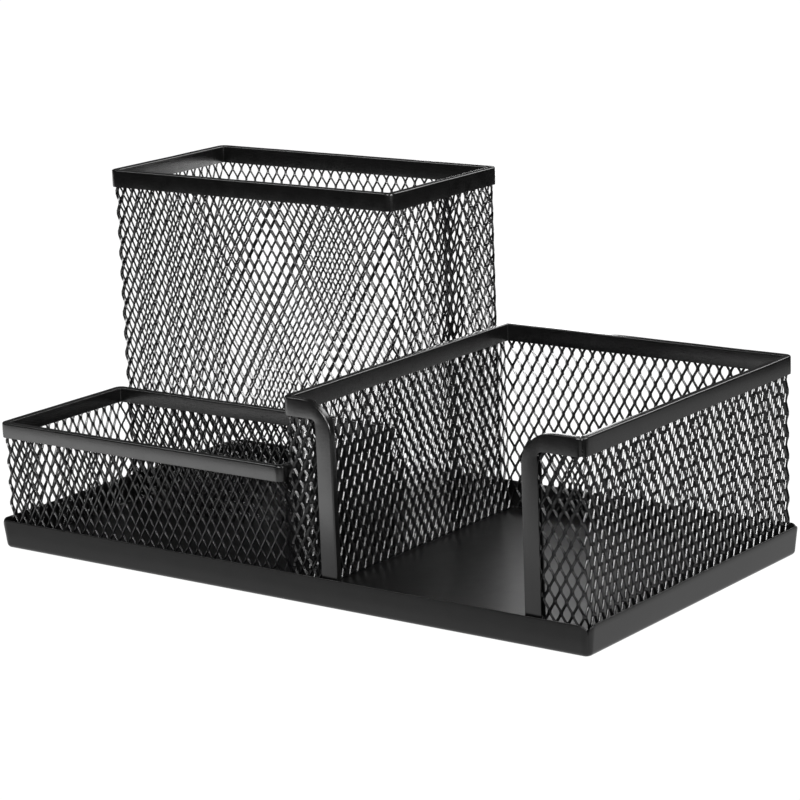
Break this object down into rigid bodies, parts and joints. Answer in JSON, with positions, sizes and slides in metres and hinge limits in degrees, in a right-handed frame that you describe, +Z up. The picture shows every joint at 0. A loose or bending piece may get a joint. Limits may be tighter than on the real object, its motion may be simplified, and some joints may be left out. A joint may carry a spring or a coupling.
{
  "type": "mesh desk organizer",
  "caption": "Wire-mesh desk organizer: tall pen cup, low clip tray and open-fronted memo bay on a folded steel pan.",
  "frame": {"origin": "middle of the footprint, on the surface that the organizer stands on", "axes": "+X along the long side to the viewer's right, +Y from the open front of the memo bay to its back, +Z up"},
  "size_m": [0.2, 0.106, 0.102],
  "materials": {
    "pan_coat": "satin black powder coat",
    "strip_coat": "satin black powder coat",
    "mesh_coat": "semi-gloss black powder coat",
    "pad_rubber": "matt"
  },
  "bodies": {
    "root": {"base_pan": "pan_coat", "pen_cup_mesh": "mesh_coat", "pen_cup_rim": "strip_coat", "clip_tray_mesh": "mesh_coat", "clip_tray_rim": "strip_coat", "memo_holder_mesh": "mesh_coat", "memo_holder_rim": "strip_coat", "anti_slip_pad_front_left": "pad_rubber", "anti_slip_pad_front_right": "pad_rubber", "anti_slip_pad_back_left": "pad_rubber", "anti_slip_pad_back_right": "pad_rubber"}
  },
  "joints": []
}
